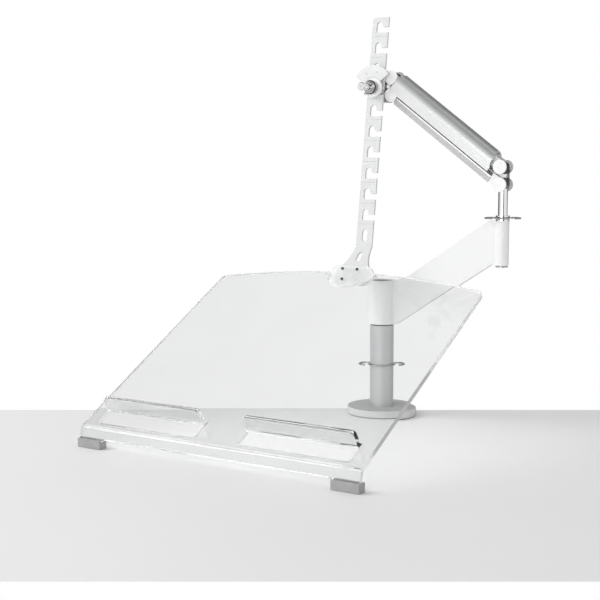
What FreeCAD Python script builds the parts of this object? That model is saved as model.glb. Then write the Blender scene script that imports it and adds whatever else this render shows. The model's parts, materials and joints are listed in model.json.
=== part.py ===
import FreeCAD, Part
import os
from math import sin, cos, tan, radians, pi, sqrt, atan2, degrees

V = FreeCAD.Vector
AX, AY, AZ = V(1, 0, 0), V(0, 1, 0), V(0, 0, 1)

# Frame: origin on the desk under the post's axis, +X along the board's width,
# +Y to the back, +Z up.  All sizes in millimetres.

# ---- driving sizes -------------------------------------------------------
# board (one bent clear sheet)
BOARD_W = 418.0          # width, left to right
BOARD_S = 346.0          # slope length at the corners, from the front fold
BOARD_BULGE = 25.0       # the top edge bows out this far at the middle
SHEET_T = 6.0            # sheet thickness
BOARD_TILT = 29.6        # slope above the desk, degrees
BOARD_X = -7.7           # board's middle line
FOLD_Z = 27.0            # front fold above the desk, top surface
FOLD_R = 9.0             # outer bend radius of the fold
FLANGE_LEAN = 12.0       # flange leans forward from vertical
LEG_W = 34.0             # flange legs that carry the feet
LEG_Z = 2.5              # leg ends above the desk
APRON_Z = 12.5           # flange edge between the legs
LEDGE_H = 21.0           # paper ledges above the sheet
LEDGE_S = 32.0           # their front face, from the fold
LEDGE_RI = 3.0           # inner bend radius of a ledge
WIN_IN, WIN_OUT = 31.5, 189.5     # windows, from the middle line
WIN_S0 = 9.0             # front edge of the windows
NOTCH_A, NOTCH_B = 36.0, 25.5     # half width and depth of the top notch
NOTCH_RISE = 18.0        # notch floor beyond the corners' slope length
# rubber feet
FOOT_W, FOOT_D, FOOT_H = 38.0, 13.6, 11.5
# hooked strip
STRIP_W, STRIP_T = 25.6, 3.0
STRIP_LEAN = 7.9         # degrees off vertical
STRIP_TOP = 563.5
BEND_UP = 39.32          # strip's bend above the board's pivot
PIVOT_OUT = 32.547       # pivot in front of the bend
NECK_LEAN = 41.0
PLATE_LEAN = 20.0
SLOT_PITCH = 29.3
SLOT_R = 4.8             # hook hollow
SLOT_UP, SLOT_DOWN = 3, 6         # slots above and below the stud
HOOK_OFF = -1.3          # hollow's middle from the strip's middle
PLATE_W, PLATE_H, PLATE_T = 68.8, 31.0, 4.0
PIVOT_R = 1.0
# stud and what is on it
STUD_Z = 466.0
STUD_R = 4.5
HOOK_Y = -9.0            # strip's middle plane at the stud
FIT = 0.05               # running fit, radial
# post and base
BASE_R, BASE_T, PAD_T = 49.0, 9.8, 1.5
POST_R, POST_WALL = 16.85, 2.0
POST_TOP = 126.0
SPINDLE_R = 12.0
HUB_R, HUB_Z0, HUB_Z1 = 20.4, 130.0, 192.0
# lower arm
ARM_X, ARM_Y = 180.0, 9.0         # shaft axis
EYE_R, EYE_Z0, EYE_Z1 = 9.2, 223.5, 283.3
WEB_T = 10.0
SHAFT_R = 6.5
# parallel arm
PIN_Z = 355.8            # rear upper pin
LINK = 23.8              # distance between the upper and lower pins
REACH_X, REACH_Z = 167.7, 123.6   # rear upper pin to front upper pin
PIN_R = 4.0
CORE = 5.0               # half width of the knuckle cores
CHK1, CHK2 = 5.4, 7.6    # upper link cheeks
CHK3, CHK4 = 7.9, 9.3    # lower bar cheeks
CAP1, CAP2 = 10.6, 13.0  # end caps
RING_T = 1.0             # black rings behind the cheeks
CAP_R = 9.75
LINK_H = 7.0             # half height of link cheeks
SLEEVE_T = 0.9           # wall of the channel, clear of the end caps' inner faces
COVER_R, COVER_WALL = 15.4, 1.8
COVER_TOP, COVER_BOT = 12.8, -14.6
WIRE_R = 1.25

# ---- derived -------------------------------------------------------------
NOTCH_S = BOARD_S + NOTCH_RISE
# the board's slope sets how high its pivot is, the strip's bend sets how far out it is,
# and the front fold follows; the pivot lies in the middle planes of plate and board
PIVOT_S = NOTCH_S + 1.0
PIVOT_Z = FOLD_Z + PIVOT_S * sin(radians(BOARD_TILT)) - SHEET_T / 2 * cos(radians(BOARD_TILT))
BEND_Z = PIVOT_Z + BEND_UP
PIVOT_Y = HOOK_Y - (STUD_Z - BEND_Z) * tan(radians(STRIP_LEAN)) - PIVOT_OUT
FOLD_Y = PIVOT_Y - PIVOT_S * cos(radians(BOARD_TILT)) - SHEET_T / 2 * sin(radians(BOARD_TILT))
STUD_X = BOARD_X + HOOK_OFF
ARM_LEN = sqrt(REACH_X ** 2 + REACH_Z ** 2)
ARM_DEG = degrees(atan2(REACH_Z, REACH_X))
FRONT_X, FRONT_Z = ARM_X - REACH_X, PIN_Z + REACH_Z
ARM_R = sqrt(ARM_X ** 2 + ARM_Y ** 2)
ARM_TURN = degrees(atan2(ARM_Y, ARM_X))


def cyl(r, p, d, h):
    return Part.makeCylinder(r, h, V(*p), d)


def ring(r2, r1, p, d, h):
    return cyl(r2, p, d, h).cut(cyl(r1, p, d, h))


def ycyl(r, x, z, y0, y1):
    return cyl(r, (x, y0, z), AY, y1 - y0)


def zcyl(r, x, y, z0, z1):
    return cyl(r, (x, y, z0), AZ, z1 - z0)


def zring(r2, r1, x, y, z0, z1):
    return zcyl(r2, x, y, z0, z1).cut(zcyl(r1, x, y, z0, z1))


def yring(r2, r1, x, z, y0, y1):
    return ycyl(r2, x, z, y0, y1).cut(ycyl(r1, x, z, y0, y1))


def box(x0, x1, y0, y1, z0, z1):
    return Part.makeBox(x1 - x0, y1 - y0, z1 - z0, V(x0, y0, z0))


def prism(pts, d):
    """Closed outline of points (or (mid, end) arc pairs) pushed along d."""
    first = V(*pts[0])
    cur, edges = first, []
    for p in pts[1:]:
        if isinstance(p[0], tuple):
            mid, end = V(*p[0]), V(*p[1])
            edges.append(Part.Arc(cur, mid, end).toShape())
        else:
            end = V(*p)
            edges.append(Part.makeLine(cur, end))
        cur = end
    if cur.distanceToPoint(first) > 1e-6:
        edges.append(Part.makeLine(cur, first))
    return Part.Face(Part.Wire(edges)).extrude(V(*d))


def round_rect(x0, x1, z0, z1, r, y0, y1):
    """Plate with rounded corners in the XZ plane, from y0 to y1."""
    k = r * (1 - sqrt(0.5))
    pts = [(x0 + r, y0, z0), (x1 - r, y0, z0),
           ((x1 - k, y0, z0 + k), (x1, y0, z0 + r)), (x1, y0, z1 - r),
           ((x1 - k, y0, z1 - k), (x1 - r, y0, z1)), (x0 + r, y0, z1),
           ((x0 + k, y0, z1 - k), (x0, y0, z1 - r)), (x0, y0, z0 + r),
           ((x0 + k, y0, z0 + k), (x0 + r, y0, z0))]
    clean = [pts[0]]
    for p in pts[1:]:
        end = p[1] if isinstance(p[0], tuple) else p
        last = clean[-1][1] if isinstance(clean[-1][0], tuple) else clean[-1]
        if V(*end).distanceToPoint(V(*last)) > 1e-6:
            clean.append(p)
    return prism(clean, (0, y1 - y0, 0))


def bar(length, h, y0, y1):
    """Flat link in the XZ plane with full round ends on (0,0) and (length,0)."""
    return prism([(0, y0, -h), (length, y0, -h), ((length + h, y0, 0), (length, y0, h)),
                  (0, y0, h), ((-h, y0, 0), (0, y0, -h))], (0, y1 - y0, 0))


def ease(shape, r, pick):
    edges = [e for e in shape.Edges if pick(e)]
    return shape.makeFillet(r, edges) if edges else shape


def place(shape, origin, axis, deg):
    s = shape.copy()
    s.Placement = FreeCAD.Placement(V(*origin), FreeCAD.Rotation(axis, deg)).multiply(s.Placement)
    return s


def group(*shapes):
    return Part.makeCompound(list(shapes))


# ---- base and post -------------------------------------------------------
def circle_at(e, z, r=None):
    c = e.Curve
    return (isinstance(c, Part.Circle) and abs(c.Center.z - z) < 1e-6
            and (r is None or abs(c.Radius - r) < 1e-6))


DISC_TOP = PAD_T + BASE_T
SPIGOT_R = 10.5
THREAD_L = 22.0


def base_pad():
    return zring(BASE_R - 2.0, 18.0, 0, 0, 0, PAD_T)


def base_disc():
    d = zring(BASE_R, SPIGOT_R + FIT, 0, 0, PAD_T, DISC_TOP)
    d = ease(d, 1.2, lambda e: circle_at(e, DISC_TOP, BASE_R))
    return ease(d, 0.6, lambda e: circle_at(e, PAD_T, BASE_R))


def post_plug():
    """Steel plug in the post's foot with the tapped hole for a desk bolt."""
    ri = POST_R - POST_WALL - 0.02
    p = zcyl(SPIGOT_R, 0, 0, 0, DISC_TOP).fuse(zcyl(ri, 0, 0, DISC_TOP, DISC_TOP + 18))
    return p.removeSplitter().cut(zcyl(4.25, 0, 0, 0, THREAD_L))


def post_tube():
    return zring(POST_R, POST_R - POST_WALL, 0, 0, DISC_TOP, POST_TOP)


RETAIN_Z = HUB_Z1 - 11.0


def post_spindle():
    ri = POST_R - POST_WALL - 0.02
    s = zcyl(ri, 0, 0, POST_TOP - 26, POST_TOP)
    s = s.fuse(zcyl(POST_R, 0, 0, POST_TOP, HUB_Z0 - 2.2))
    s = s.fuse(zcyl(SPINDLE_R, 0, 0, HUB_Z0 - 2.2, RETAIN_Z)).removeSplitter()
    return s.cut(zcyl(3.02, 0, 0, RETAIN_Z - 16, RETAIN_Z))


def hub_washer():
    return zring(POST_R - 1.2, SPINDLE_R + 0.3, 0, 0, HUB_Z0 - 2.2, HUB_Z0 - 0.1)


BUSH_R = 15.0


def hub_bush(z0, z1):
    return zring(BUSH_R - 0.02, SPINDLE_R + FIT, 0, 0, z0, z1)


def hub_screw():
    """Washer-headed screw that keeps the arm on the spindle."""
    s = zcyl(14.2, 0, 0, RETAIN_Z + 0.1, RETAIN_Z + 1.8)
    s = s.fuse(zcyl(5.0, 0, 0, RETAIN_Z + 1.8, RETAIN_Z + 5.0)).removeSplitter()
    s = s.fuse(zcyl(3.0, 0, 0, RETAIN_Z - 12, RETAIN_Z + 0.1)).removeSplitter()
    hexa = [(3.2 * cos(radians(60 * i)), 3.2 * sin(radians(60 * i)), RETAIN_Z + 2.6)
            for i in range(6)]
    return s.cut(prism(hexa, (0, 0, 4)))


def hub_cap():
    c = zcyl(17.0, 0, 0, HUB_Z1 - 5.0, HUB_Z1 - 2.0)
    return c.cut(zcyl(13.5, 0, 0, HUB_Z1 - 2.8, HUB_Z1 - 2.0))


# ---- wire clips ----------------------------------------------------------
def wire_clip(hug, ear, turn, x, y, z):
    """Spring wire bent round a shaft with an open cable ear on each side."""
    right = []
    for a in (-90, -75, -60, -45, -30, -15, 0, 11, 22):
        right.append((hug * cos(radians(a)), hug * sin(radians(a))))
    e0 = right[-1]
    right += [(e0[0] + 0.30 * ear, e0[1] + 0.34 * ear), (e0[0] + 0.74 * ear, e0[1] + 0.25 * ear),
              (e0[0] + 1.00 * ear, e0[1] - 0.22 * ear), (e0[0] + 0.86 * ear, e0[1] - 0.78 * ear),
              (e0[0] + 0.50 * ear, e0[1] - 1.10 * ear)]
    left = [(-p[0], p[1]) for p in right[1:]]
    pts = [V(p[0], p[1], 0) for p in list(reversed(left)) + right]
    curve = Part.BSplineCurve()
    curve.interpolate(pts)
    path = Part.Wire([curve.toShape()])
    start, tang = curve.value(curve.FirstParameter), curve.tangent(curve.FirstParameter)[0]
    prof = Part.Wire([Part.makeCircle(WIRE_R, start, tang)])
    solid = path.makePipeShell([prof], True, False)
    return place(solid, (x, y, z), AZ, turn)


# ---- lower arm -----------------------------------------------------------
def lower_arm():
    """Raised plate arm with a wide hub on the post and a slim eye for the shaft."""
    w = WEB_T / 2
    e = 14.0
    pts = [(0, -w, HUB_Z0), (HUB_R + 3, -w, HUB_Z0), (ARM_R - e, -w, EYE_Z0 + 0.4),
           (ARM_R, -w, EYE_Z0), (ARM_R, -w, EYE_Z1), (ARM_R - e - 4, -w, EYE_Z1),
           (HUB_R + 5, -w, HUB_Z1 - 0.4), (0, -w, HUB_Z1 - 0.4)]
    web = prism(pts, (0, WEB_T, 0))
    web = ease(web, 8.0, lambda k: abs(k.Vertexes[0].X - k.Vertexes[-1].X) < 1e-6
               and abs(k.Vertexes[0].Z - k.Vertexes[-1].Z) < 1e-6
               and HUB_R < k.Vertexes[0].X < ARM_R - 5)
    body = web.fuse([zcyl(HUB_R, 0, 0, HUB_Z0, HUB_Z1), zcyl(EYE_R, ARM_R, 0, EYE_Z0, EYE_Z1)])
    body = body.removeSplitter()
    body = body.cut(zcyl(BUSH_R, 0, 0, HUB_Z0, HUB_Z1))
    body = body.cut(zcyl(17.05, 0, 0, HUB_Z1 - 5.0, HUB_Z1))
    body = body.cut(zcyl(SHAFT_R + 1.5, ARM_R, 0, EYE_Z0, EYE_Z1))
    return place(body, (0, 0, 0), AZ, ARM_TURN)


def eye_bush(z0, z1):
    return zring(SHAFT_R + 1.48, SHAFT_R + FIT, ARM_X, ARM_Y, z0, z1)


# ---- shaft and rear knuckle ---------------------------------------------
NECK_Z = PIN_Z - LINK - LINK_H - 3.0
NECK_IN = 5.0            # shaft's spigot in the knuckle, short of the lower pin


def shaft():
    s = zcyl(SHAFT_R, ARM_X, ARM_Y, EYE_Z0 - 1.0, NECK_Z + NECK_IN)
    s = ease(s, 0.6, lambda e: circle_at(e, NECK_Z + NECK_IN, SHAFT_R))
    return s.cut(zcyl(2.02, ARM_X, ARM_Y, EYE_Z0 - 1.0, EYE_Z0 + 14))


def shaft_screw():
    s = zcyl(8.4, ARM_X, ARM_Y, EYE_Z0 - 2.6, EYE_Z0 - 1.1)
    s = s.fuse(zcyl(3.6, ARM_X, ARM_Y, EYE_Z0 - 3.5, EYE_Z0 - 2.6))
    s = s.fuse(zcyl(2.0, ARM_X, ARM_Y, EYE_Z0 - 1.1, EYE_Z0 + 10)).removeSplitter()
    return s.cut(box(ARM_X - 3, ARM_X + 3, ARM_Y - 0.5, ARM_Y + 0.5, EYE_Z0 - 4, EYE_Z0 - 3.0))


CLIP_Z = EYE_Z1 + 4.0


def collar(z0, z1):
    c = zring(9.5, SHAFT_R + 0.02, ARM_X, ARM_Y, z0, z1)
    return ease(c, 0.5, lambda e: circle_at(e, z1, 9.5))


def rear_knuckle():
    y0, y1 = ARM_Y - CORE, ARM_Y + CORE
    z0 = PIN_Z - LINK
    k = place(bar(LINK, LINK_H, y0, y1), (ARM_X, 0, PIN_Z), AY, 90)
    k = k.cut(zcyl(SHAFT_R + 0.02, ARM_X, ARM_Y, NECK_Z, NECK_Z + NECK_IN))
    for z in (PIN_Z, z0):
        k = k.cut(ycyl(PIN_R + 0.02, ARM_X, z, y0, y1))
    return k


def pins(x, z_top):
    out = []
    for z in (z_top, z_top - LINK):
        out.append(ycyl(PIN_R, x, z, ARM_Y - CAP1 - 1.2, ARM_Y + CAP1 + RING_T))
    return group(*out)


def caps(x, z_top):
    """Domed white covers pressed on the front ends of the pins."""
    out = []
    for z in (z_top, z_top - LINK):
        c = ycyl(CAP_R, x, z, ARM_Y - CAP2, ARM_Y - CAP1)
        c = ease(c, 0.7, lambda e: isinstance(e.Curve, Part.Circle)
                 and abs(e.Curve.Center.y - (ARM_Y - CAP2)) < 1e-6)
        out.append(c.cut(ycyl(PIN_R + 0.02, x, z, ARM_Y - CAP1 - 1.2, ARM_Y - CAP1)))
    return group(*out)


def back_rings(x, z_top):
    """Black rubber washers behind the rear cheeks."""
    out = []
    for z in (z_top, z_top - LINK):
        r = yring(9.2, PIN_R + 0.02, x, z, ARM_Y + CAP1, ARM_Y + CAP1 + RING_T)
        out.append(r)
    return group(*out)


def back_caps(x, z_top):
    out = []
    for z in (z_top, z_top - LINK):
        c = ycyl(8.6, x, z, ARM_Y + CAP1 + RING_T, ARM_Y + CAP2)
        out.append(ease(c, 0.6, lambda e: isinstance(e.Curve, Part.Circle)
                        and abs(e.Curve.Center.y - (ARM_Y + CAP2)) < 1e-6))
    return group(*out)


# ---- parallel arm (built along X from the front upper pin) ---------------
def in_arm(s, drop=0.0):
    return place(s, (FRONT_X, ARM_Y, FRONT_Z - drop), AY, ARM_DEG)


def upper_link():
    a = bar(ARM_LEN, LINK_H, CHK1, CHK2)
    b = bar(ARM_LEN, LINK_H, -CHK2, -CHK1)
    web = box(16, ARM_LEN - 16, -CHK1, CHK1, LINK_H - 2.0, LINK_H)
    s = a.fuse([b, web]).removeSplitter()
    for x in (0, ARM_LEN):
        s = s.cut(ycyl(PIN_R + FIT, x, 0, -CHK2 - 1, CHK2 + 1))
    return in_arm(s)


def lower_bar():
    h = LINK_H + 0.2
    a = bar(ARM_LEN, h, CHK3, CHK4)
    b = bar(ARM_LEN, h, -CHK4, -CHK3)
    web = box(18, ARM_LEN - 18, -CHK3, CHK3, -h, -h + 2.0)
    s = a.fuse([b, web]).removeSplitter()
    for x in (0, ARM_LEN):
        s = s.cut(ycyl(PIN_R + FIT, x, 0, -CHK4 - 1, CHK4 + 1))
    return in_arm(s, LINK)


def bar_sleeve():
    """Channel pressed over the lower bar, with sloped shoulders along its top edges."""
    x0, x1, h = CAP_R + 0.6, ARM_LEN - 17.5, LINK_H + 0.2
    w = CHK4 + SLEEVE_T
    prof = [(x0, -w, -h - SLEEVE_T), (x0, w, -h - SLEEVE_T), (x0, w, h - 3.6), (x0, CHK4 + 0.1, h - 0.8),
            (x0, CHK4, h - 0.8), (x0, CHK4, -h), (x0, -CHK4, -h), (x0, -CHK4, h - 0.8),
            (x0, -CHK4 - 0.1, h - 0.8), (x0, -w, h - 3.6)]
    return in_arm(prism(prof, (x1 - x0, 0, 0)), LINK)


COVER_MID = COVER_TOP - COVER_R


def arch(r, x0, x1, bottom):
    """Round-topped inverted channel section, pushed along X."""
    m = COVER_MID
    pts = [(x0, -r, bottom), (x0, r, bottom), (x0, r, m), ((x0, 0, m + r), (x0, -r, m))]
    return prism(pts, (x1 - x0, 0, 0))


def arm_cover():
    x0, x1 = 9.4, ARM_LEN - 10.2
    s = arch(COVER_R, x0, x1, COVER_BOT)
    s = s.cut(arch(COVER_R - COVER_WALL, x0 - 1, x1 + 1, COVER_BOT - 1))
    s = s.cut(ycyl(11.3, 0, 0, -20, 20))
    s = s.cut(ycyl(13.4, ARM_LEN, 0, -20, 20))
    nose = [(x0 - 1, -20, 8), (10.0, -20, 8), (14.0, -20, 16), (x0 - 1, -20, 16)]
    s = s.cut(prism(nose, (0, 40, 0)))
    tail = [(ARM_LEN - 9.6, -20, 15), (ARM_LEN - 20, -20, 15), (ARM_LEN - 13.0, -20, 2),
            (ARM_LEN - 9.6, -20, 2)]
    s = s.cut(prism(tail, (0, 40, 0)))
    return in_arm(s)


def cover_blocks():
    """Blocks between the link's web and the cover's crown."""
    out = []
    for x in (34.0, ARM_LEN - 46.0):
        b = box(x, x + 12, -4, 4, LINK_H, COVER_TOP)
        out.append(in_arm(b.common(arch(COVER_R - COVER_WALL, x - 1, x + 13, -10))))
    return group(*out)


# ---- head ----------------------------------------------------------------
HEAD_X0, HEAD_X1 = STUD_X - 10.0, FRONT_X - CAP_R - 0.7
HEAD_Y0, HEAD_Y1 = HOOK_Y + 5.0, ARM_Y + 10.5
HEAD_Z0, HEAD_Z1 = STUD_Z - 20.0, STUD_Z + 15.0
TAIL_Y = HEAD_Y0 + 8.0
SCREW_Z = (STUD_Z - 9.5, STUD_Z + 9.5)


def head_block():
    b = box(HEAD_X0, HEAD_X1, HEAD_Y0, HEAD_Y1, HEAD_Z0, HEAD_Z1)
    b = ease(b, 2.5, lambda e: abs(e.Vertexes[0].X - HEAD_X0) < 1e-6
             and abs(e.Vertexes[-1].X - HEAD_X0) < 1e-6)
    b = b.cut(ycyl(STUD_R + 0.01, STUD_X, STUD_Z, HEAD_Y0, TAIL_Y))
    gx = HEAD_X1 - 4.2
    b = b.cut(box(gx, gx + 1.8, HEAD_Y0, HEAD_Y0 + 2.5, STUD_Z - 7.5, STUD_Z + 8.0))
    b = b.cut(box(gx - 7.0, gx, HEAD_Y0, HEAD_Y0 + 2.5, STUD_Z - 7.5, STUD_Z - 5.9))
    for z in SCREW_Z:
        b = b.cut(cyl(2.05, (HEAD_X0, ARM_Y + 3.5, z), AX, 40))
        b = b.cut(cyl(3.8, (HEAD_X0, ARM_Y + 3.5, z), AX, 4.2))
    return b


def front_knuckle():
    """Core between the link cheeks with a flange against the head block."""
    y0, y1 = ARM_Y - CORE, ARM_Y + CORE
    x0 = HEAD_X1 + 0.02
    k = place(bar(LINK, LINK_H, y0, y1), (FRONT_X, 0, FRONT_Z), AY, 90)
    k = k.fuse(box(x0, FRONT_X, y0, y1, FRONT_Z - LINK - 5.5, FRONT_Z + 5.5))
    k = k.fuse(box(x0, x0 + 2.4, ARM_Y - 9.5, ARM_Y + 9.5, HEAD_Z0 + 2, HEAD_Z1 - 1))
    k = k.removeSplitter()
    for z in (FRONT_Z, FRONT_Z - LINK):
        k = k.cut(ycyl(PIN_R + 0.02, FRONT_X, z, y0, y1))
    for z in SCREW_Z:
        k = k.cut(cyl(1.72, (x0, ARM_Y + 3.5, z), AX, 6.0))
    return k


def head_screws():
    out = []
    for z in SCREW_Z:
        p = ARM_Y + 3.5
        s = cyl(3.5, (HEAD_X0 + 0.4, p, z), AX, 3.7)
        s = s.fuse(cyl(1.7, (HEAD_X0 + 4.1, p, z), AX, HEAD_X1 - HEAD_X0 - 4.1 + 5.4))
        hexa = [(HEAD_X0 + 0.4, p + 1.7 * cos(radians(60 * i)), z + 1.7 * sin(radians(60 * i)))
                for i in range(6)]
        out.append(s.removeSplitter().cut(prism(hexa, (2.0, 0, 0))))
    return group(*out)


GAP = 3.9                # strip's room each side of its middle plane
KEEP_Y1 = HOOK_Y - GAP   # keeper's back face
KEEP_Y0 = KEEP_Y1 - 3.5
WASH_Y0 = KEEP_Y1 - 3.7


def turned(profile, x, z):
    """Solid of revolution about the stud's axis from (radius, y) points."""
    pts = [V(x + r, y, z) for r, y in profile]
    wire = Part.makePolygon(pts + [pts[0]])
    return Part.Face(wire).revolve(V(x, 0, z), AY, 360)


def stud():
    prof = [(0.0, TAIL_Y), (STUD_R, TAIL_Y), (STUD_R, -43.2), (3.9, -43.2), (3.9, -44.2),
            (5.7, -44.6), (5.7, -47.6), (4.9, -48.5), (0.8, -48.5), (0.8, -46.0), (0.0, -46.0)]
    return turned(prof, STUD_X, STUD_Z)


def stud_spacer():
    return yring(11.0, STUD_R + 0.02, STUD_X, STUD_Z, HEAD_Y0 - 1.1, HEAD_Y0)


def keeper():
    """Fan-shaped keeper that turns on the stud and covers the hooked slot."""
    r1, r2 = 13.6, 31.0
    a0, a1 = radians(37), radians(153)
    am = (a0 + a1) / 2

    def at(r, a):
        return (STUD_X + r * cos(a), KEEP_Y0, STUD_Z + r * sin(a))
    fan = prism([at(r1 - 1, a0), at(r2, a0), (at(r2, am), at(r2, a1)), at(r1 - 1, a1),
                 (at(r1 - 1, am), at(r1 - 1, a0))], (0, KEEP_Y1 - KEEP_Y0, 0))
    fan = ease(fan, 3.0, lambda e: abs(e.Vertexes[0].X - e.Vertexes[-1].X) < 1e-6
               and abs(e.Vertexes[0].Z - e.Vertexes[-1].Z) < 1e-6
               and sqrt((e.Vertexes[0].X - STUD_X) ** 2 + (e.Vertexes[0].Z - STUD_Z) ** 2) > r2 - 1)
    fan = fan.cut(ycyl(r1, STUD_X, STUD_Z, KEEP_Y0, KEEP_Y1 - 1.2))
    s = fan.fuse(ycyl(r1, STUD_X, STUD_Z, KEEP_Y1 - 1.2, KEEP_Y1)).removeSplitter()
    s = s.cut(ycyl(STUD_R + FIT, STUD_X, STUD_Z, KEEP_Y0 - 1, KEEP_Y1 + 1))
    for a in (radians(72), radians(118)):
        s = s.cut(ycyl(0.8, STUD_X + 22 * cos(a), STUD_Z + 22 * sin(a), KEEP_Y0, KEEP_Y1))
    return s


def face_washer():
    w = yring(13.3, STUD_R + 0.02, STUD_X, STUD_Z, WASH_Y0, KEEP_Y1 - 1.25)
    return ease(w, 0.5, lambda e: isinstance(e.Curve, Part.Circle)
                and abs(e.Curve.Center.y - WASH_Y0) < 1e-6 and e.Curve.Radius > 10)


NUT_Y = WASH_Y0 - 0.05


def thumb_nut():
    """Stepped nut with a groove for its grip ring and a dished front."""
    r0 = STUD_R + 0.02
    prof = [(r0, NUT_Y), (8.6, NUT_Y), (8.6, -22.0), (9.3, -22.4), (9.3, -23.2), (7.45, -23.4),
            (7.45, -25.8), (9.0, -26.0), (9.0, -26.8), (6.8, -30.0), (5.9, -30.0), (5.9, -28.8),
            (r0, -28.8)]
    s = turned(prof, STUD_X, STUD_Z)
    for i in range(24):
        a = radians(15 * i + 4)
        s = s.cut(ycyl(0.5, STUD_X + 8.75 * cos(a), STUD_Z + 8.75 * sin(a), -22.0, NUT_Y))
    a = radians(LEVER_DEG)
    return s.cut(cyl(1.02, (STUD_X + 5.6 * cos(a), LEVER_Y, STUD_Z + 5.6 * sin(a)),
                     V(cos(a), 0, sin(a)), 6))


LEVER_DEG, LEVER_Y = 221.0, -19.4


def nut_ring():
    t = Part.makeTorus(8.7, 1.2, V(STUD_X, -24.6, STUD_Z), AY)
    return t


def nut_lever():
    """Rod with a ball end, turned about its own axis (small flat at the tip)."""
    r, h, ball, tip = 1.0, 13.6, 2.2, 0.35
    za, zb = h - sqrt(ball ** 2 - r ** 2), h + sqrt(ball ** 2 - tip ** 2)
    p = [V(0, 0, 5.8), V(r, 0, 5.8), V(r, 0, za), V(tip, 0, zb), V(0, 0, zb)]
    edges = [Part.LineSegment(p[0], p[1]).toShape(), Part.LineSegment(p[1], p[2]).toShape(),
             Part.Arc(p[2], V(ball, 0, h), p[3]).toShape(),
             Part.LineSegment(p[3], p[4]).toShape(), Part.LineSegment(p[4], p[0]).toShape()]
    s = Part.Face(Part.Wire(edges)).revolve(V(0, 0, 0), AZ, 360)
    return place(s, (STUD_X, LEVER_Y, STUD_Z), AY, 90 - LEVER_DEG)


# ---- hooked strip --------------------------------------------------------
def lean_dir(deg):
    return V(0, sin(radians(deg)), cos(radians(deg)))


def meet(p, u, q, v):
    """Point where two lines in the YZ plane cross."""
    den = u.y * v.z - u.z * v.y
    t = ((q.y - p.y) * v.z - (q.z - p.z) * v.y) / den
    return V(p.x, p.y + u.y * t, p.z + u.z * t)


U_STRIP, U_NECK, U_PLATE = lean_dir(STRIP_LEAN), lean_dir(NECK_LEAN), lean_dir(PLATE_LEAN)
BACK = V(0, cos(radians(PLATE_LEAN)), -sin(radians(PLATE_LEAN)))
HOOK = V(0, HOOK_Y, STUD_Z)
P_TOP = HOOK + U_STRIP * ((STRIP_TOP - STUD_Z) / U_STRIP.z)
P_BEND = HOOK + U_STRIP * ((BEND_Z - STUD_Z) / U_STRIP.z)
P_FOOT = V(0, PIVOT_Y, PIVOT_Z) + BACK * (PLATE_T / 2 + STRIP_T / 2)
P_KNEE = meet(P_BEND, U_NECK, P_FOOT, U_PLATE)
P_END = P_FOOT - U_PLATE * 13.0


def in_strip(s):
    return place(s, (BOARD_X, HOOK_Y, STUD_Z), AX, -STRIP_LEAN)


def in_plate(s):
    return place(s, (BOARD_X, PIVOT_Y, PIVOT_Z), AX, -PLATE_LEAN)


def offset_path(pts, d):
    out = []
    for i, p in enumerate(pts):
        dirs = []
        if i > 0:
            dirs.append((pts[i] - pts[i - 1]).normalize())
        if i < len(pts) - 1:
            dirs.append((pts[i + 1] - pts[i]).normalize())
        n = V(0, 0, 0)
        for k in dirs:
            n = n + V(0, -k.z, k.y)
        n.normalize()
        c = n.dot(V(0, -dirs[0].z, dirs[0].y))
        out.append(p + n * (d / c))
    return out


def hook_slot(w):
    """One hooked slot, opening to the right, its hollow centred on height w."""
    c, r, e = HOOK_OFF, SLOT_R, STRIP_W / 2 + 2
    lo, tooth = w - 10.8, w - 2.9
    q = sqrt(0.5)
    pts = [(c - r, -5, w), ((c, -5, w + r), (c + r, -5, w)), (c + r, -5, tooth + 2.0),
           ((c + r + 2 - 2 * q, -5, tooth + 2 - 2 * q), (c + r + 2, -5, tooth)),
           (e, -5, tooth), (e, -5, lo), (c - r + 2.2, -5, lo),
           ((c - r + 2.2 - 2.2 * q, -5, lo + 2.2 - 2.2 * q), (c - r, -5, lo + 2.2))]
    return in_strip(prism(pts, (0, 10, 0)))


def oval(x, z0, z1, r, y0, y1):
    return prism([(x - r, y0, z0 + r), ((x, y0, z0), (x + r, y0, z0 + r)), (x + r, y0, z1 - r),
                  ((x, y0, z1), (x - r, y0, z1 - r))], (0, y1 - y0, 0))


FOOT_SCREWS = ((-16.0, 10.5), (7.5, 10.5), (-14.0, -4.5))


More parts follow.
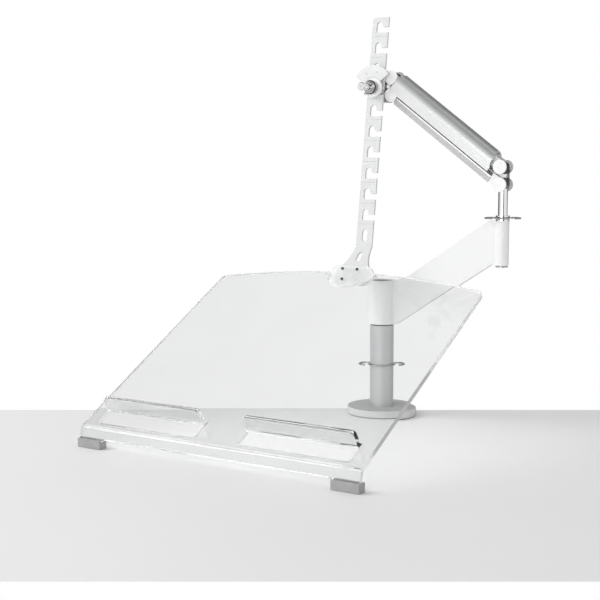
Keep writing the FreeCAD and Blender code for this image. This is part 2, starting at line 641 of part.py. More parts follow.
def hook_strip():
    """Bent milky strip: hooked upper part, necked bend and wide foot."""
    mid = [P_TOP, P_BEND, P_KNEE, P_END]
    a, b = offset_path(mid, STRIP_T / 2), offset_path(mid, -STRIP_T / 2)
    ring_pts = [(-60, p.y, p.z) for p in a] + [(-60, p.y, p.z) for p in reversed(b)]
    slab = prism(ring_pts, (120, 0, 0))
    h, zt, zb = STRIP_W / 2, STRIP_TOP + 1, P_END.z - 1
    zk, f = P_KNEE.z + 3, 29.0
    pts = [(-h, -150, zt - 5), ((-h + 1.5, -150, zt - 1.5), (-h + 5, -150, zt)),
           (h, -150, zt), (h, -150, BEND_Z), ((h + 2.6, -150, BEND_Z - 15), (h + 8.6, -150, zk)),
           ((h + 14, -150, zk - 6), (f, -150, zk - 14)), ((f - 3.5, -150, zb + 3.5), (f - 12, -150, zb)),
           (-f + 12, -150, zb), ((-f + 3.5, -150, zb + 3.5), (-f, -150, zk - 14)),
           ((-h - 14, -150, zk - 6), (-h - 8.6, -150, zk)),
           ((-h - 2.6, -150, BEND_Z - 15), (-h, -150, BEND_Z))]
    s = slab.common(prism(pts, (0, 250, 0)))
    s.translate(V(BOARD_X, 0, 0))
    for k in range(-SLOT_DOWN, SLOT_UP + 1):
        s = s.cut(hook_slot(k * SLOT_PITCH))
    y = -STRIP_T / 2
    for k in range(-SLOT_DOWN - 1, SLOT_UP):
        w = k * SLOT_PITCH + 12.8
        s = s.cut(in_strip(box(-20, 20, y - 1, y + 0.35, w - 0.4, w + 0.4)))
    w0 = (BEND_Z + 16.0 - STUD_Z) / cos(radians(STRIP_LEAN))
    s = s.cut(in_strip(oval(0, w0 - 8.4, w0 + 8.4, 4.2, -6, 6)))
    mid_neck = P_BEND + (P_KNEE - P_BEND) * 0.47
    hole = oval(0, -8.0, 8.0, 3.9, -6, 6)
    s = s.cut(place(hole, (BOARD_X, mid_neck.y, mid_neck.z), AX, -NECK_LEAN))
    for x, u in FOOT_SCREWS:
        s = s.cut(in_plate(ycyl(1.35, x, u, -10, 10)))
    return s


def foot_plate():
    h = PLATE_T / 2
    s = round_rect(-PLATE_W / 2, PLATE_W / 2, -PLATE_H / 2, PLATE_H / 2, 14.0, -h, h)
    s = ease(s, 0.6, lambda e: abs(e.CenterOfMass.y + h) < 1e-6)
    for x, u in FOOT_SCREWS:
        s = s.cut(ycyl(1.35, x, u, -10, 10))
    for side in (-1, 1):
        s = s.cut(cyl(PIVOT_R + 0.01, (side * (PLATE_W / 2 - 9), 0, 0), AX * side, 12))
    return in_plate(s)


def foot_screws():
    out = []
    h = PLATE_T / 2
    for x, u in FOOT_SCREWS:
        s = ycyl(2.0, x, u, -h - 0.7, -h).fuse(ycyl(1.3, x, u, -h, h + STRIP_T + 2.6))
        s = s.removeSplitter().cut(box(x - 1.6, x + 1.6, -h - 1, -h - 0.3, u - 0.3, u + 0.3))
        out.append(in_plate(s))
    return group(*out)


def foot_nuts(strip):
    out = []
    y = PLATE_T / 2 + STRIP_T
    for x, u in FOOT_SCREWS:
        hexa = [(x + 2.9 * cos(radians(60 * i)), y, u + 2.9 * sin(radians(60 * i)))
                for i in range(6)]
        nut = prism(hexa, (0, 2.2, 0)).cut(ycyl(1.32, x, u, y - 1, y + 4))
        out.append(in_plate(nut).cut(strip))
    return group(*out)


def pivot_pins():
    out = []
    for side in (-1, 1):
        x = BOARD_X + side * (PLATE_W / 2 - 8.8)
        out.append(cyl(PIVOT_R, (x, PIVOT_Y, PIVOT_Z), AX * side, 8.8 + NOTCH_A - PLATE_W / 2 + 5))
    return group(*out)


# ---- board (X across, Y up the slope from the fold, Z off the sheet) ------
def on_board(s):
    return place(s, (BOARD_X, FOLD_Y, FOLD_Z), AX, BOARD_TILT)


def board_section():
    """Sheet and front flange as one bent strip, pushed across the width."""
    turn = radians(90 - FLANGE_LEAN - BOARD_TILT)
    f = (-cos(turn), -sin(turn))
    d = FOLD_R * tan(turn / 2)
    ri = FOLD_R - SHEET_T
    w = BOARD_W / 2
    end = (FOLD_Z - LEG_Z) / cos(radians(FLANGE_LEAN))
    mid = (d - FOLD_R * sin(turn / 2), -FOLD_R + FOLD_R * cos(turn / 2))
    mid_i = (d - ri * sin(turn / 2), -FOLD_R + ri * cos(turn / 2))
    m = (sin(turn) * SHEET_T, -cos(turn) * SHEET_T)
    x = -w
    pts = [(x, 400, 0), (x, d, 0),
           ((x, mid[0], mid[1]), (x, f[0] * d, f[1] * d)),
           (x, f[0] * end, f[1] * end), (x, f[0] * end + m[0], f[1] * end + m[1]),
           (x, f[0] * d + m[0], f[1] * d + m[1]),
           ((x, mid_i[0], mid_i[1]), (x, d, -SHEET_T)), (x, 400, -SHEET_T)]
    return prism(pts, (BOARD_W, 0, 0))


def top_trim():
    """What is cut away above the bowed top edge, with rounded corners."""
    w, s, b, r = BOARD_W / 2, BOARD_S, BOARD_BULGE, 9.0
    slope = 2 * b / w
    pts = [(-w - 1, s - r, -30), (-w, s - r, -30),
           ((-w + 0.26 * r, s - 0.26 * r, -30), (-w + r, s + 0.5 * slope * r, -30)),
           ((0, s + b, -30), (w - r, s + 0.5 * slope * r, -30)),
           ((w - 0.26 * r, s - 0.26 * r, -30), (w, s - r, -30)), (w + 1, s - r, -30),
           (w + 1, 450, -30), (-w - 1, 450, -30)]
    return prism(pts, (0, 0, 60))


def window(x0, x1):
    s1 = LEDGE_S + SHEET_T + LEDGE_RI
    b = box(x0, x1, WIN_S0, s1, -20, 20)
    r = 5.0
    return ease(b, r, lambda e: abs(e.Vertexes[0].Y - WIN_S0) < 1e-6
                and abs(e.Vertexes[-1].Y - WIN_S0) < 1e-6
                and abs(e.Vertexes[0].X - e.Vertexes[-1].X) < 1e-6)


def ledge(x0, x1):
    """Flap cut from the window and bent up square to the sheet."""
    ri, t = LEDGE_RI, SHEET_T
    ro, s1, q = ri + t, LEDGE_S + t + ri, sqrt(0.5)
    pts = [(x0, s1, 0), ((x0, s1 - ri * q, ri - ri * q), (x0, s1 - ri, ri)),
           (x0, s1 - ri, LEDGE_H), (x0, s1 - ro, LEDGE_H), (x0, s1 - ro, ri),
           ((x0, s1 - ro * q, ri - ro * q), (x0, s1, -t))]
    s = prism(pts, (x1 - x0, 0, 0))
    return ease(s, 5.0, lambda e: abs(e.CenterOfMass.z - LEDGE_H) < 1e-6
                and abs(e.Vertexes[0].Y - e.Vertexes[-1].Y) > 1)


def apron_cut():
    """Raises the flange's edge between the two legs."""
    z0, z1, r = -20.0, APRON_Z, 8.0
    x0, x1 = -BOARD_W / 2 + LEG_W, BOARD_W / 2 - LEG_W
    c = box(x0, x1, -60, 60, z0, z1)
    c = ease(c, r, lambda e: abs(e.Vertexes[0].Z - z1) < 1e-6
             and abs(e.Vertexes[-1].Z - z1) < 1e-6
             and abs(e.Vertexes[0].X - e.Vertexes[-1].X) < 1e-6)
    return place(c, (BOARD_X, FOLD_Y, 0), AX, 0)


def board_sheet():
    s = board_section().cut(top_trim())
    notch = Part.Ellipse(V(NOTCH_A, NOTCH_S, -30), V(0, NOTCH_S - NOTCH_B, -30),
                         V(0, NOTCH_S, -30))
    cutter = Part.Face(Part.Wire([notch.toShape()])).extrude(V(0, 0, 60))
    s = s.cut(cutter).cut(box(-NOTCH_A, NOTCH_A, NOTCH_S, 450, -30, 30))
    for x0, x1 in ((-WIN_OUT, -WIN_IN), (WIN_IN, WIN_OUT)):
        s = s.cut(window(x0, x1)).fuse(ledge(x0 + 1.0, x1 - 1.0))
    s = on_board(s.removeSplitter())
    s = s.cut(apron_cut())
    for side in (-1, 1):
        p = (BOARD_X + side * (NOTCH_A - 2), PIVOT_Y, PIVOT_Z)
        s = s.cut(cyl(PIVOT_R + FIT, p, AX * side, 8.0))
    return s


FOOT_Y0 = FOLD_Y - 6.4


def foot(side, sheet):
    """Rubber shoe pushed over one flange leg."""
    x_out = BOARD_X + side * (BOARD_W / 2 + 1.7)
    x0, x1 = sorted((x_out, x_out - side * FOOT_W))
    b = box(x0, x1, FOOT_Y0, FOOT_Y0 + FOOT_D, 0, FOOT_H)
    b = b.makeFillet(1.2, b.Edges)
    return b.cut(sheet)


def main():
    os.makedirs("parts", exist_ok=True)
    sheet, strip = board_sheet(), hook_strip()
    h0, h1 = HUB_Z0 + 0.0, HUB_Z1 - 11.2
    nodes = {
        "base_pad": base_pad(), "base_disc": base_disc(), "post_plug": post_plug(),
        "post_tube": post_tube(), "post_spindle": post_spindle(), "hub_washer": hub_washer(),
        "post_clip": wire_clip(POST_R + WIRE_R + 0.3, 15.0, 30, 0, 0, 71.0),
        "lower_arm": lower_arm(),
        "hub_bush_lower": hub_bush(h0, h0 + 16), "hub_bush_upper": hub_bush(h1 - 16, h1),
        "hub_screw": hub_screw(), "hub_cap": hub_cap(),
        "eye_bush_lower": eye_bush(EYE_Z0, EYE_Z0 + 12),
        "eye_bush_upper": eye_bush(EYE_Z1 - 12, EYE_Z1),
        "shaft": shaft(), "shaft_screw": shaft_screw(),
        "collar_lower": collar(EYE_Z1 + 0.3, CLIP_Z - WIRE_R - 0.3),
        "collar_upper": collar(CLIP_Z + WIRE_R + 0.3, CLIP_Z + WIRE_R + 2.4),
        "shaft_clip": wire_clip(SHAFT_R + WIRE_R + 0.3, 16.0, 30, ARM_X, ARM_Y, CLIP_Z),
        "rear_knuckle": rear_knuckle(), "rear_pins": pins(ARM_X, PIN_Z),
        "rear_caps": caps(ARM_X, PIN_Z), "rear_rings": back_rings(ARM_X, PIN_Z),
        "rear_end_caps": back_caps(ARM_X, PIN_Z),
        "upper_link": upper_link(), "arm_cover": arm_cover(), "cover_blocks": cover_blocks(),
        "lower_bar": lower_bar(), "bar_sleeve": bar_sleeve(),
        "front_knuckle": front_knuckle(), "front_pins": pins(FRONT_X, FRONT_Z),
        "front_caps": caps(FRONT_X, FRONT_Z), "front_rings": back_rings(FRONT_X, FRONT_Z),
        "front_end_caps": back_caps(FRONT_X, FRONT_Z),
        "head_block": head_block(), "head_screws": head_screws(),
        "stud": stud(), "stud_spacer": stud_spacer(), "keeper": keeper(),
        "face_washer": face_washer(), "thumb_nut": thumb_nut(), "nut_ring": nut_ring(),
        "nut_lever": nut_lever(),
        "hook_strip": strip, "foot_plate": foot_plate(), "foot_screws": foot_screws(),
        "foot_nuts": foot_nuts(strip), "pivot_pins": pivot_pins(),
        "board_sheet": sheet, "foot_left": foot(-1, sheet), "foot_right": foot(1, sheet),
    }
    for name, shape in nodes.items():
        if not shape.isValid() or not shape.Solids:
            print("PROBLEM", name, shape.isValid(), len(shape.Solids))
        shape.exportStep("parts/" + name + ".step")
    print(len(nodes), "nodes", round(FOLD_Y, 4), round(BEND_Z, 4), round(PIVOT_Y, 4))


main()
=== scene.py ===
"""Looks of the clear drawing board on its desk post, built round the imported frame.

Lengths are metres in the row frame: X along the board's width, Y from the board's front
to the post, Z up, with the origin on the desk under the post's axis.
"""

import json
import math

import bmesh
import bpy
import numpy as np
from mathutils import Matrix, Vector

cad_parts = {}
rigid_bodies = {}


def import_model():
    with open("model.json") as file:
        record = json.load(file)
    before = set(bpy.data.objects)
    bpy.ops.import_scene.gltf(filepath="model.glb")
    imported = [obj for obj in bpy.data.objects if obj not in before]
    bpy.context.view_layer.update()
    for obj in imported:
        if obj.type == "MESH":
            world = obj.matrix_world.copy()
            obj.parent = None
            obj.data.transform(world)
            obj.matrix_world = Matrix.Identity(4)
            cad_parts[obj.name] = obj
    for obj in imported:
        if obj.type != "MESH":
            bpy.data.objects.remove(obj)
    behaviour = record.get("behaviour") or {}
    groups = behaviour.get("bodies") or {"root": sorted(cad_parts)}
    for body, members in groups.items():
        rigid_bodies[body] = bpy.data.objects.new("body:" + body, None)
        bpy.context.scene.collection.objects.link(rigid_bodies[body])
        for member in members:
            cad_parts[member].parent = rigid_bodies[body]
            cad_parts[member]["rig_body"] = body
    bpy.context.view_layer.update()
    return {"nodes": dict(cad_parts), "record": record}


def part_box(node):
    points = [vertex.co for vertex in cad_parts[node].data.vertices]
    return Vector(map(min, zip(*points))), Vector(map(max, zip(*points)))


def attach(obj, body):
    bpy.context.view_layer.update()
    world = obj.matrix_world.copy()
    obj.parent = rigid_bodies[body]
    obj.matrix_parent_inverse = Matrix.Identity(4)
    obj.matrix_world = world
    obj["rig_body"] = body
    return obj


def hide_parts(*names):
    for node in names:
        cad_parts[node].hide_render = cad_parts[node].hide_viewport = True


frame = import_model()
NODES = frame["nodes"]
JOINT_AT = {j["name"]: np.array(j["pos_m"], float)
            for j in frame["record"]["behaviour"]["joints"]}
SLOT_OF = {s["node"]: s["material_slot"] for s in frame["record"]["subparts"]}

WHITE = (1, 1, 1, 1)
NOISE_LOW, NOISE_HIGH = 0.3, 0.7        # noise keeps mostly between these levels
MIX_A, MIX_B, MIX_RESULT = 6, 7, 2      # a Mix node's sockets for colours


def grey(level):
    return (level, level, level, 1)


# ---- node trees ----------------------------------------------------------
class Nodes:
    """A node tree being built. A source is a plain value or a (node, output) pair."""

    def __init__(self, tree):
        self.tree = tree
        tree.nodes.clear()

    def add(self, kind, **settings):
        node = self.tree.nodes.new("ShaderNode" + kind)
        for name, value in settings.items():
            setattr(node, name, value)
        return node

    def feed(self, node, into, source):
        """Gives an input its source; into is the input's name or number."""
        socket = node.inputs[into]
        if isinstance(source, tuple) and isinstance(source[0], bpy.types.Node):
            self.tree.links.new(source[0].outputs[source[1]], socket)
        else:
            socket.default_value = source

    def feed_all(self, node, **sources):
        """The same for several named inputs, with _ in a name for a space."""
        for name, source in sources.items():
            self.feed(node, name.replace("_", " "), source)

    def maths(self, operation, a, b, clamp=False):
        node = self.add("Math", operation=operation, use_clamp=clamp)
        self.feed(node, 0, a)
        self.feed(node, 1, b)
        return node, "Value"

    def between(self, source, low, high):
        """1 where low < source < high, and 0 elsewhere."""
        return self.maths("MULTIPLY", self.maths("GREATER_THAN", source, low),
                          self.maths("LESS_THAN", source, high))

    def spread(self, source, low, high, to_low=0.0, to_high=1.0):
        """Maps low..high to to_low..to_high in a straight line, held at both ends."""
        node = self.add("MapRange")
        self.feed_all(node, Value=source, From_Min=low, From_Max=high, To_Min=to_low,
                      To_Max=to_high)
        return node, "Result"

    def ramp(self, source, stops, steps=False):
        """Colours over source, from (place, colour) stops; steps holds each colour up to
        the next stop."""
        node = self.add("ValToRGB")
        marks = node.color_ramp.elements
        for place, _ in stops[2:]:
            marks.new(place)
        for mark, (place, colour) in zip(marks, stops):
            mark.position, mark.color = place, colour
        node.color_ramp.interpolation = "CONSTANT" if steps else "LINEAR"
        self.feed(node, "Fac", source)
        return node, "Color"

    def mix(self, share, a, b, blend="MIX"):
        """Colour a where share is 0, and b, blended with a, where it is 1."""
        node = self.add("Mix", data_type="RGBA", blend_type=blend)
        self.feed(node, "Factor", share)
        self.feed(node, MIX_A, a)
        self.feed(node, MIX_B, b)
        return node, MIX_RESULT

    def times(self, a, b):
        """Colour a times colour b."""
        return self.mix(1.0, a, b, "MULTIPLY")

    def mix_shaders(self, share, a, b):
        """Shader a where share is 0, and b where it is 1."""
        node = self.add("MixShader")
        self.feed(node, "Fac", share)
        self.feed(node, 1, a)
        self.feed(node, 2, b)
        return node, "Shader"


class Finish(Nodes):
    """A material: a Principled shader and the nodes that feed it."""

    def __init__(self, name, colour, roughness, metallic=0.0):
        self.mat = bpy.data.materials.new(name)
        self.mat.use_nodes = True
        super().__init__(self.mat.node_tree)
        self.colour, self.rough = colour, roughness
        self.shader = self.add("BsdfPrincipled")
        self.set(Base_Color=(*colour, 1), Roughness=roughness, Metallic=metallic)
        self.out = self.add("OutputMaterial")
        self.feed(self.out, "Surface", (self.shader, "BSDF"))
        self.place = self.add("TexCoord"), "Object"

    def set(self, **sources):
        self.feed_all(self.shader, **sources)

    def noise(self, scale, detail, stretch=(1, 1, 1), turn=(0, 0, 0), distortion=0.0):
        """Noise over the object, drawn out along the turned axes by stretch."""
        turned = self.add("Mapping", vector_type="TEXTURE")
        self.feed_all(turned, Vector=self.place, Rotation=turn, Scale=stretch)
        node = self.add("TexNoise")
        self.feed_all(node, Vector=(turned, "Vector"), Scale=scale, Detail=detail,
                      Distortion=distortion)
        return node, "Fac"

    def height(self):
        """Height over the desk."""
        split = self.add("SeparateXYZ")
        self.feed(split, "Vector", self.place)
        return split, "Z"

    def along(self, direction):
        """Distance from the origin along a direction: the dot product of the two."""
        node = self.add("VectorMath", operation="DOT_PRODUCT")
        self.feed(node, 0, self.place)
        self.feed(node, 1, direction)
        return node, "Value"

    def tone(self, source, share):
        """Base colour varied by +-share with source."""
        darker, lighter = ((*(min(1, c * k) for c in self.colour), 1)
                           for k in (1 - share, 1 + share))
        colour = self.ramp(source, ((NOISE_LOW, darker), (NOISE_HIGH, lighter)))
        self.set(Base_Color=colour)
        return colour

    def gloss(self, source, swing):
        """Roughness varied by +-swing with source."""
        self.set(Roughness=self.spread(source, NOISE_LOW, NOISE_HIGH,
                                       max(0.0, self.rough - swing), self.rough + swing))

    def bump(self, source, strength, depth):
        node = self.add("Bump")
        self.feed_all(node, Height=source, Strength=strength, Distance=depth)
        self.set(Normal=(node, "Normal"))

    def lets_lamps_through(self, tint):
        """Shadow rays pass straight through the shader, tinted."""
        clear = self.add("BsdfTransparent")
        self.feed(clear, "Color", grey(tint))
        shadow = (self.add("LightPath"), "Is Shadow Ray")
        self.feed(self.out, "Surface",
                  self.mix_shaders(shadow, (self.shader, "BSDF"), (clear, "BSDF")))


# ---- finishes ------------------------------------------------------------
def clear_acrylic():
    f = Finish("clear_acrylic", (0.885, 0.89, 0.89), 0.0)
    f.set(Transmission_Weight=1.0, IOR=1.49)
    f.tone(f.noise(14, 3), 0.012)
    f.lets_lamps_through(0.93)
    return f.mat


def milky(name, colour, rough, see_through=0.0):
    """Frosted acrylic: a soft white body, in thin pieces partly letting through what is
    behind."""
    f = Finish(name, colour, rough)
    f.set(Transmission_Weight=see_through, IOR=1.3)
    f.tone(f.noise(60, 3), 0.02)
    f.gloss(f.noise(180, 4), 0.06)
    f.bump(f.noise(900, 2), 0.06, 0.0002)
    if see_through:
        f.lets_lamps_through(0.75)
    return f.mat


def rubber(name, colour, rough=0.72):
    f = Finish(name, colour, rough)
    f.set(Specular_IOR_Level=0.35)
    f.tone(f.noise(120, 5), 0.07)
    f.gloss(f.noise(300, 4), 0.1)
    f.bump(f.noise(1600, 3), 0.3, 0.0003)
    return f.mat


def paint(name, colour, rough, metallic=0.0):
    """Sprayed paint: fine sparkle and a slight orange peel."""
    f = Finish(name, colour, rough, metallic)
    f.tone(f.noise(2600, 2), 0.03)
    f.gloss(f.noise(40, 4), 0.05)
    f.bump(f.noise(700, 3), 0.12, 0.0002)
    return f.mat


def brushed(name, colour, rough, turn, stretch=(60, 1, 1), swing=0.07, relief=0.10):
    """Metal with fine lines along the axis that stretch draws out, turned by turn."""
    f = Finish(name, colour, rough, 1.0)
    grain = f.noise(1800, 4, stretch, turn)
    f.tone(grain, 0.05)
    f.gloss(grain, swing)
    f.bump(grain, relief, 0.0001)
    return f.mat


def polished(name, colour, rough=0.06):
    f = Finish(name, colour, rough, 1.0)
    f.tone(f.noise(30, 4), 0.03)
    f.gloss(f.noise(160, 5, distortion=0.4), 0.03)
    f.bump(f.noise(60, 2), 0.02, 0.0002)
    return f.mat


def moulded(name, colour, rough):
    f = Finish(name, colour, rough)
    f.tone(f.noise(70, 4), 0.02)
    f.gloss(f.noise(220, 4), 0.05)
    f.bump(f.noise(1300, 3), 0.06, 0.0002)
    return f.mat


def knuckle(name, neck_low, neck_high):
    """Dark satin barrels round the pins, with a polished neck between two heights."""
    f = Finish(name, (0.20, 0.20, 0.205), 0.3, 1.0)
    barrels = f.tone(f.noise(200, 4), 0.06)
    neck = f.between(f.height(), neck_low, neck_high)
    f.set(Base_Color=f.mix(neck, barrels, (0.80, 0.80, 0.81, 1)))
    f.gloss(f.noise(300, 4), 0.05)
    return f.mat


def painted_light_bands(name, rough, direction, start, bands):
    """White paint with light and shade painted in bands along a direction: bands are
    (upper edge, painted shade level) from the lowest band up, with the edges in metres from
    start."""
    f = Finish(name, (0.97, 0.97, 0.97), rough)
    margin = 0.01                       # past the outer edges, in metres
    low, high = bands[0][0] - margin, bands[-1][0] + margin
    begins = [0.0] + [(edge - low) / (high - low) for edge, _ in bands[:-1]]
    shade = f.ramp(f.spread(f.along(direction), low + start, high + start),
                   [(at, grey(level)) for at, (_, level) in zip(begins, bands)], steps=True)
    f.set(Base_Color=f.times(shade, f.tone(f.noise(900, 3), 0.03)))
    f.gloss(f.noise(60, 4), 0.05)
    return f.mat


def strip_with_painted_grooves(name, colour, rough, low, pitch):
    """Milky acrylic with a painted shade line and a painted highlight edge under it,
    half-way up each pitch of height from low, where the strip's cross grooves are."""
    f = Finish(name, colour, rough)
    w = 0.0006 / pitch                  # the painted shade line's half width, as a share of the pitch
    line = ((0.5 - 2 * w, 1.0), (0.5 - w, 1.12), (0.5, 0.90), (0.5 + w, 0.90),
            (0.5 + 1.6 * w, 1.0))
    part = f.add("Math", operation="FRACT")
    f.feed(part, 0, f.maths("DIVIDE", f.maths("SUBTRACT", f.height(), low), pitch))
    shade = f.ramp((part, "Value"), [(at, grey(level)) for at, level in line])
    f.set(Base_Color=f.times(f.tone(f.noise(60, 3), 0.02), shade))
    f.gloss(f.noise(180, 4), 0.06)
    f.bump(f.noise(900, 2), 0.06, 0.0002)
    return f.mat


ARM_SLOPE = math.radians(36.39)
BAR_UP = (math.sin(ARM_SLOPE), 0, math.cos(ARM_SLOPE))          # square to the lower bar
PIN_GAP = JOINT_AT["arm_lift"] - JOINT_AT["bar_link"]           # upper pin over lower pin
BAR_AT = float((JOINT_AT["head_level"] - PIN_GAP) @ BAR_UP)     # the lower bar's pin line
DISC_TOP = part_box("base_disc")[1][2]
LOOKS = {
    "clear": clear_acrylic(),
    "milky": milky("milky_acrylic", (0.74, 0.745, 0.745), 0.36),
    "rubber_grey": rubber("shoe_rubber", (0.34, 0.34, 0.342)),
    "rubber_black": rubber("grip_rubber", (0.022, 0.022, 0.023), 0.5),
    "grey_paint": paint("silver_paint", (0.56, 0.563, 0.568), 0.38, metallic=0.5),
    "light_paint": paint("pale_silver_paint", (0.80, 0.802, 0.805), 0.40),
    "head_paint": paint("head_silver_paint", (0.55, 0.555, 0.56), 0.40),
    "aluminium": brushed("arm_cover_aluminium", (0.88, 0.885, 0.89), 0.40,
                         turn=(0, ARM_SLOPE, 0), swing=0.02, relief=0.02),
    "chrome": polished("chrome_plate", (0.78, 0.785, 0.79)),
    "white_plastic": moulded("white_cap_plastic", (0.95, 0.95, 0.95), 0.28),
    "steel": brushed("screw_steel", (0.55, 0.55, 0.56), 0.3, turn=(0, 0, 0),
                     stretch=(1, 20, 1)),
    "black_plastic": moulded("black_washer_plastic", (0.03, 0.03, 0.031), 0.45),
    "nylon": moulded("bush_nylon", (0.80, 0.79, 0.74), 0.4),
}
LOOK_OF = {          # nodes whose finish differs from the rest of their slot
    "rear_knuckle": knuckle("rear_knuckle_metal", 0.3415, 0.3465),
    "front_knuckle": knuckle("front_knuckle_metal", 0.4655, 0.4705),
    # the rear caps: a darker copy of the white cap plastic, painted shade
    "rear_caps": moulded("rear_cap_painted_shade", (0.84, 0.84, 0.84), 0.28),
    "rear_rings": moulded("pale_ring_plastic", (0.62, 0.62, 0.625), 0.35),
    "foot_plate": milky("clear_milky_acrylic", (0.86, 0.865, 0.865), 0.22, see_through=0.55),
    "post_clip": polished("wire_plate", (0.42, 0.42, 0.43), 0.12),
    # the lower bar's channel: its own grey below, a painted highlight band along its top
    # lip, and a painted shadow band for the dark gap under the arm cover
    "bar_sleeve": painted_light_bands("bar_channel_painted_light", 0.38, BAR_UP, BAR_AT,
                         ((-0.0006, 0.52), (0.0013, 0.98), (0.0070, 0.09))),
    # the base disc: its side in its own grey, and its top face painted darker as painted
    # shade
    "base_disc": painted_light_bands("disc_painted_shade", 0.40, (0, 0, 1), DISC_TOP,
                        ((-0.0003, 0.62), (0.001, 0.36))),
    # the strip's cross grooves as painted shade lines, each with a painted highlight edge
    # under it
    "hook_strip": strip_with_painted_grooves("milky_strip_acrylic", (0.67, 0.675, 0.675), 0.36,
                                low=0.46417, pitch=0.02902),
    "thumb_nut": polished("nut_plate", (0.46, 0.46, 0.47), 0.10),
    "foot_screws": brushed("dark_screw_steel", (0.10, 0.10, 0.10), 0.35, turn=(0, 0, 0)),
}
LOOK_OF["front_rings"] = LOOK_OF["rear_rings"]
LOOK_OF["rear_end_caps"] = LOOK_OF["front_end_caps"] = LOOKS["white_plastic"]
LOOK_OF["shaft_clip"] = LOOK_OF["post_clip"]
for name, node in NODES.items():
    node.data.materials.clear()
    node.data.materials.append(LOOK_OF.get(name) or LOOKS[SLOT_OF[name]])


# ---- the clear sheet with its polished, rounded edges ---------------------
SHEET_SLOPE = math.radians(29.6)
SHEET_HALF = 0.0031      # half the sheet's thickness and a little more
SHEET_EDGE = 0.0016      # radius of its polished edges
EDGE_STEPS = 4           # flats round that radius
SHARP_BEND = 50          # degrees between two faces, past which the edge is rounded
SMOOTH_BEND = 35         # degrees, up to which shading runs on over an edge
SMALL_FACE = 3e-5        # square metres; a bigger face is shaded flat


def on_the_rim(mesh):
    """True for faces within the sheet's thickness that face along the sheet: the height of
    a face's middle over the sheet's middle plane is (c - p) . n, and its own normal m has
    |m . n| < 0.5. The front flange, whose normal is along Y, is left out."""
    middle, normal = (np.empty(3 * len(mesh.polygons)) for _ in range(2))
    mesh.polygons.foreach_get("center", middle)
    mesh.polygons.foreach_get("normal", normal)
    middle, normal = middle.reshape(-1, 3), normal.reshape(-1, 3)
    up = np.array([0.0, -math.sin(SHEET_SLOPE), math.cos(SHEET_SLOPE)])
    within = np.abs((middle - JOINT_AT["board_tilt"]) @ up) < SHEET_HALF
    return within & (np.abs(normal @ up) < 0.5) & (np.abs(normal[:, 1]) < 0.97)


def clear_sheet():
    """The CAD sheet's mesh merged, its flat triangles joined, and each sharp edge replaced
    by a quarter circle of radius SHEET_EDGE."""
    cad_sheet = NODES["board_sheet"]
    mesh = cad_sheet.data.copy()
    mesh.name = "clear_sheet"
    b = bmesh.new()
    b.from_mesh(mesh)
    bmesh.ops.remove_doubles(b, verts=b.verts, dist=2e-6)
    bmesh.ops.dissolve_limit(b, angle_limit=math.radians(0.8), verts=b.verts, edges=b.edges)
    sharp = [e for e in b.edges
             if len(e.link_faces) == 2 and e.calc_face_angle() > math.radians(SHARP_BEND)]
    bmesh.ops.bevel(b, geom=sharp, offset=SHEET_EDGE, offset_type="OFFSET",
                    segments=EDGE_STEPS, profile=0.5, affect="EDGES", clamp_overlap=True)
    bmesh.ops.recalc_face_normals(b, faces=b.faces)
    b.to_mesh(mesh)
    b.free()
    if mesh.has_custom_normals:
        mesh.attributes.remove(mesh.attributes["custom_normal"])
    mesh.set_sharp_from_angle(angle=math.radians(SMOOTH_BEND))
    area = np.empty(len(mesh.polygons))
    mesh.polygons.foreach_get("area", area)
    mesh.polygons.foreach_set("use_smooth", area < SMALL_FACE)
    sheet = bpy.data.objects.new("clear_sheet", mesh)
    bpy.context.scene.collection.objects.link(sheet)
    mesh.materials.clear()
    mesh.materials.append(LOOKS["clear"])
    mesh.materials.append(milky("polished_sheet_edge", (0.93, 0.935, 0.935), 0.15,
                                see_through=0.45))
    mesh.polygons.foreach_set("material_index", on_the_rim(mesh).astype(np.int32))
    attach(sheet, cad_sheet["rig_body"])
    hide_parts("board_sheet")


# ---- desk, light and camera ----------------------------------------------
CAMERA_AT = (0.897563, -1.543403, 0.360759)
YAW, PITCH = math.radians(33.984), math.radians(6.236)
HEADING = np.array([-math.sin(YAW), math.cos(YAW)])
DESK_NEAR, DESK_FAR = 1.053, 1.813      # from under the camera, along its heading
FLOOR_HALF = 4.0                        # half the side of the whole floor
AIM = (0.03, -0.15, 0.25)               # where the lamps point
DOME = 0.80                             # strength of the light from all round
# what mirrors see around them, as (place, level): place 0.5 is straight ahead of the
# camera, and 0 and 1 are straight behind it
MIRROR_RING = ((0.0, 0.12), (0.035, 0.15), (0.06, 1.0), (0.22, 1.0), (0.30, 0.16),
               (0.40, 0.10), (0.46, 1.0), (0.54, 1.0), (0.60, 0.10), (0.68, 0.16),
               (0.76, 1.0), (0.94, 1.0), (0.965, 0.15), (1.0, 0.12))
# how it dims upwards, as (place, colour): a direction's Z from SKY_LOW to SKY_HIGH is
# place 0 to 1
SKY_LOW, SKY_HIGH = -0.2, 0.6
SKY_DIMS = ((0.28, WHITE), (0.90, grey(0.55)))


def camera():
    data = bpy.data.cameras.new("camera")
    data.lens, data.sensor_width = 75.145, 36.0
    o = bpy.data.objects.new("camera", data)
    o.location = CAMERA_AT
    o.rotation_euler = (math.pi / 2 - PITCH, 0, YAW)
    bpy.context.scene.collection.objects.link(o)
    bpy.context.scene.camera = o


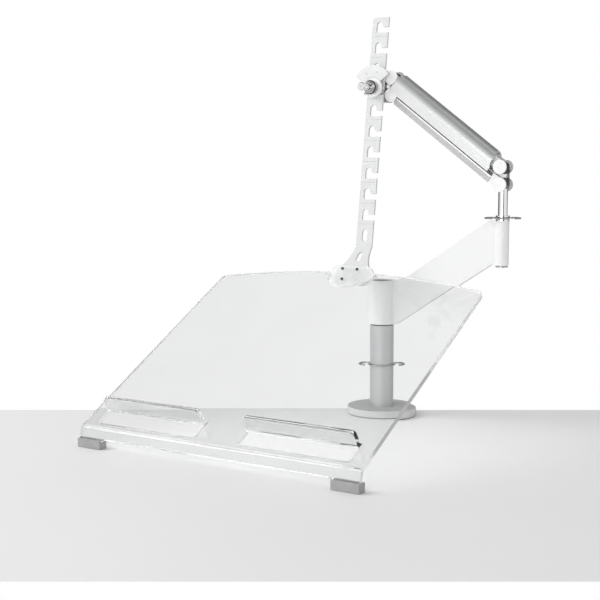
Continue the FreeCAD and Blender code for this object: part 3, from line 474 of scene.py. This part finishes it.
def desk():
    """One flat square under the object: a band of it, as deep as the desk, is pale grey,
    and sight rays find the rest as white as the backdrop."""
    mesh = bpy.data.meshes.new("desk")
    mesh.from_pydata([(x * FLOOR_HALF, y * FLOOR_HALF, 0)
                      for x, y in ((-1, -1), (1, -1), (1, 1), (-1, 1))], [], [(0, 1, 2, 3)])
    o = bpy.data.objects.new("desk", mesh)
    bpy.context.scene.collection.objects.link(o)
    f = Finish("desk_top", (0.76, 0.76, 0.765), 0.5)
    f.set(Specular_IOR_Level=0.3)
    f.tone(f.noise(3, 3), 0.01)
    grey_top = (f.shader, "BSDF")
    foot = float(HEADING @ np.array(CAMERA_AT[:2]))
    band = f.between(f.along((*HEADING, 0)), foot + DESK_NEAR, foot + DESK_FAR)
    path = f.add("LightPath")
    seen = f.maths("ADD", (path, "Is Camera Ray"), (path, "Is Transmission Ray"), clamp=True)
    in_sight = f.mix_shaders(band, (f.add("Emission"), "Emission"), grey_top)
    f.feed(f.out, "Surface", f.mix_shaders(seen, grey_top, in_sight))
    mesh.materials.append(f.mat)


def studio():
    """White surroundings for sight and for what clear pieces let through, a ring of white
    boxes and dark gaps for mirrors, and a dimmer dome that lights the rest."""
    world = bpy.data.worlds.new("studio")
    bpy.context.scene.world = world
    world.use_nodes = True
    t = Nodes(world.node_tree)
    turned, split = t.add("Mapping", vector_type="POINT"), t.add("SeparateXYZ")
    t.feed_all(turned, Vector=(t.add("TexCoord"), "Generated"), Rotation=(0, 0, -YAW))
    t.feed(split, "Vector", (turned, "Vector"))
    around = t.maths("ARCTAN2", (split, "X"), (split, "Y"))
    ring = t.ramp(t.spread(around, -math.pi, math.pi),
                  [(place, grey(level)) for place, level in MIRROR_RING])
    sky = t.ramp(t.spread((split, "Z"), SKY_LOW, SKY_HIGH), SKY_DIMS)
    path = t.add("LightPath")
    sight, mirror, through = ((path, f"Is {kind} Ray")
                              for kind in ("Camera", "Glossy", "Transmission"))
    only_mirror = t.maths("SUBTRACT", mirror, through, clamp=True)
    room, dome, out = (t.add(kind) for kind in ("Background", "Background", "OutputWorld"))
    t.feed(room, "Color", t.mix(only_mirror, WHITE, t.times(sky, ring)))
    t.feed(dome, "Strength", DOME)
    seen = t.maths("ADD", t.maths("ADD", sight, mirror), through, clamp=True)
    t.feed(out, "Surface", t.mix_shaders(seen, (dome, "Background"), (room, "Background")))


def softbox(name, place, size, watts, mirrored=True):
    """A flat lamp that faces AIM: turned about X by the angle of its ray from straight
    down, and then about Z to the ray's heading."""
    data = bpy.data.lights.new(name, "AREA")
    data.shape, data.energy = "RECTANGLE", watts
    data.size, data.size_y = size
    o = bpy.data.objects.new(name, data)
    bpy.context.scene.collection.objects.link(o)
    o.location = place
    o.visible_glossy = mirrored
    ray = np.array(AIM) - np.array(place)
    o.rotation_euler = (math.acos(-ray[2] / np.linalg.norm(ray)), 0,
                        math.atan2(ray[1], ray[0]) - math.pi / 2)


clear_sheet()
camera()
desk()
studio()
softbox("window_left", (-1.6, -1.3, 1.5), (1.4, 1.4), 32, mirrored=False)
softbox("front", (0.5, -2.3, 0.50), (1.6, 0.8), 12)
softbox("fill_right", (1.9, -0.3, 1.1), (1.2, 1.2), 3)

bpy.context.scene.view_settings.view_transform = "Standard"
paths = bpy.context.scene.cycles        # light turns many times inside the clear sheet
paths.max_bounces, paths.glossy_bounces, paths.transmission_bounces = 32, 24, 24
